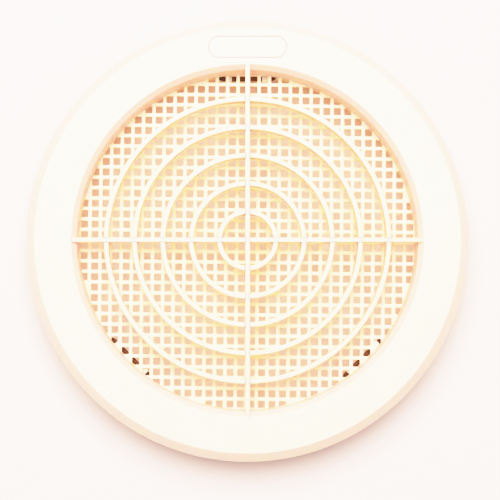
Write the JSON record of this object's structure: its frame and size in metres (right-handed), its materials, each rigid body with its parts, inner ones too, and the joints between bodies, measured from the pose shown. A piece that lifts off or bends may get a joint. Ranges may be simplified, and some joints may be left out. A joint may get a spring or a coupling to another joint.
{
  "type": "ventilation grille",
  "caption": "Round duct-end grille with concentric rings, cross bars, an insect screen and a collar held by sprung wire clips.",
  "frame": {"origin": "on the duct's axis in the plane of the wall that the flange's rim rests on", "axes": "+Z along the duct's axis, out of the wall into the room; +Y to the grille's top, where the blank outline is; +X to the right, seen from the room"},
  "size_m": [0.15, 0.15, 0.0213],
  "materials": {
    "ivory_plastic": "satin moulded ivory plastic",
    "screen_plastic": "satin moulded ivory plastic, slightly translucent",
    "spring_wire": "drawn spring steel wire"
  },
  "bodies": {
    "grille": {"bezel": "ivory_plastic", "plate_outline": "ivory_plastic", "vertical_bar": "ivory_plastic", "horizontal_bar": "ivory_plastic", "ring_1": "ivory_plastic", "ring_2": "ivory_plastic", "ring_3": "ivory_plastic", "ring_4": "ivory_plastic", "ring_5": "ivory_plastic", "duct_collar": "ivory_plastic", "screen_catches": "ivory_plastic", "spring_seat_top": "ivory_plastic", "spring_seat_left": "ivory_plastic", "spring_seat_right": "ivory_plastic", "insect_screen": "screen_plastic"},
    "clip_top": {"spring_clip_top": "spring_wire"},
    "clip_left": {"spring_clip_left": "spring_wire"},
    "clip_right": {"spring_clip_right": "spring_wire"}
  },
  "joints": [
    {"name": "clip_top_flex", "type": "hinge", "parent": "grille", "child": "clip_top", "pos_m": [0, 0.0564, -0.0066], "axis": [-1, 0, 0], "range_deg": [0, 38], "stiffness_Nm_per_rad": 0.12},
    {"name": "clip_left_flex", "type": "hinge", "parent": "grille", "child": "clip_left", "pos_m": [-0.03988, -0.03988, -0.0066], "axis": [0.7071, -0.7071, 0], "range_deg": [0, 38], "stiffness_Nm_per_rad": 0.12},
    {"name": "clip_right_flex", "type": "hinge", "parent": "grille", "child": "clip_right", "pos_m": [0.03988, -0.03988, -0.0066], "axis": [0.7071, 0.7071, 0], "range_deg": [0, 38], "stiffness_Nm_per_rad": 0.12}
  ]
}
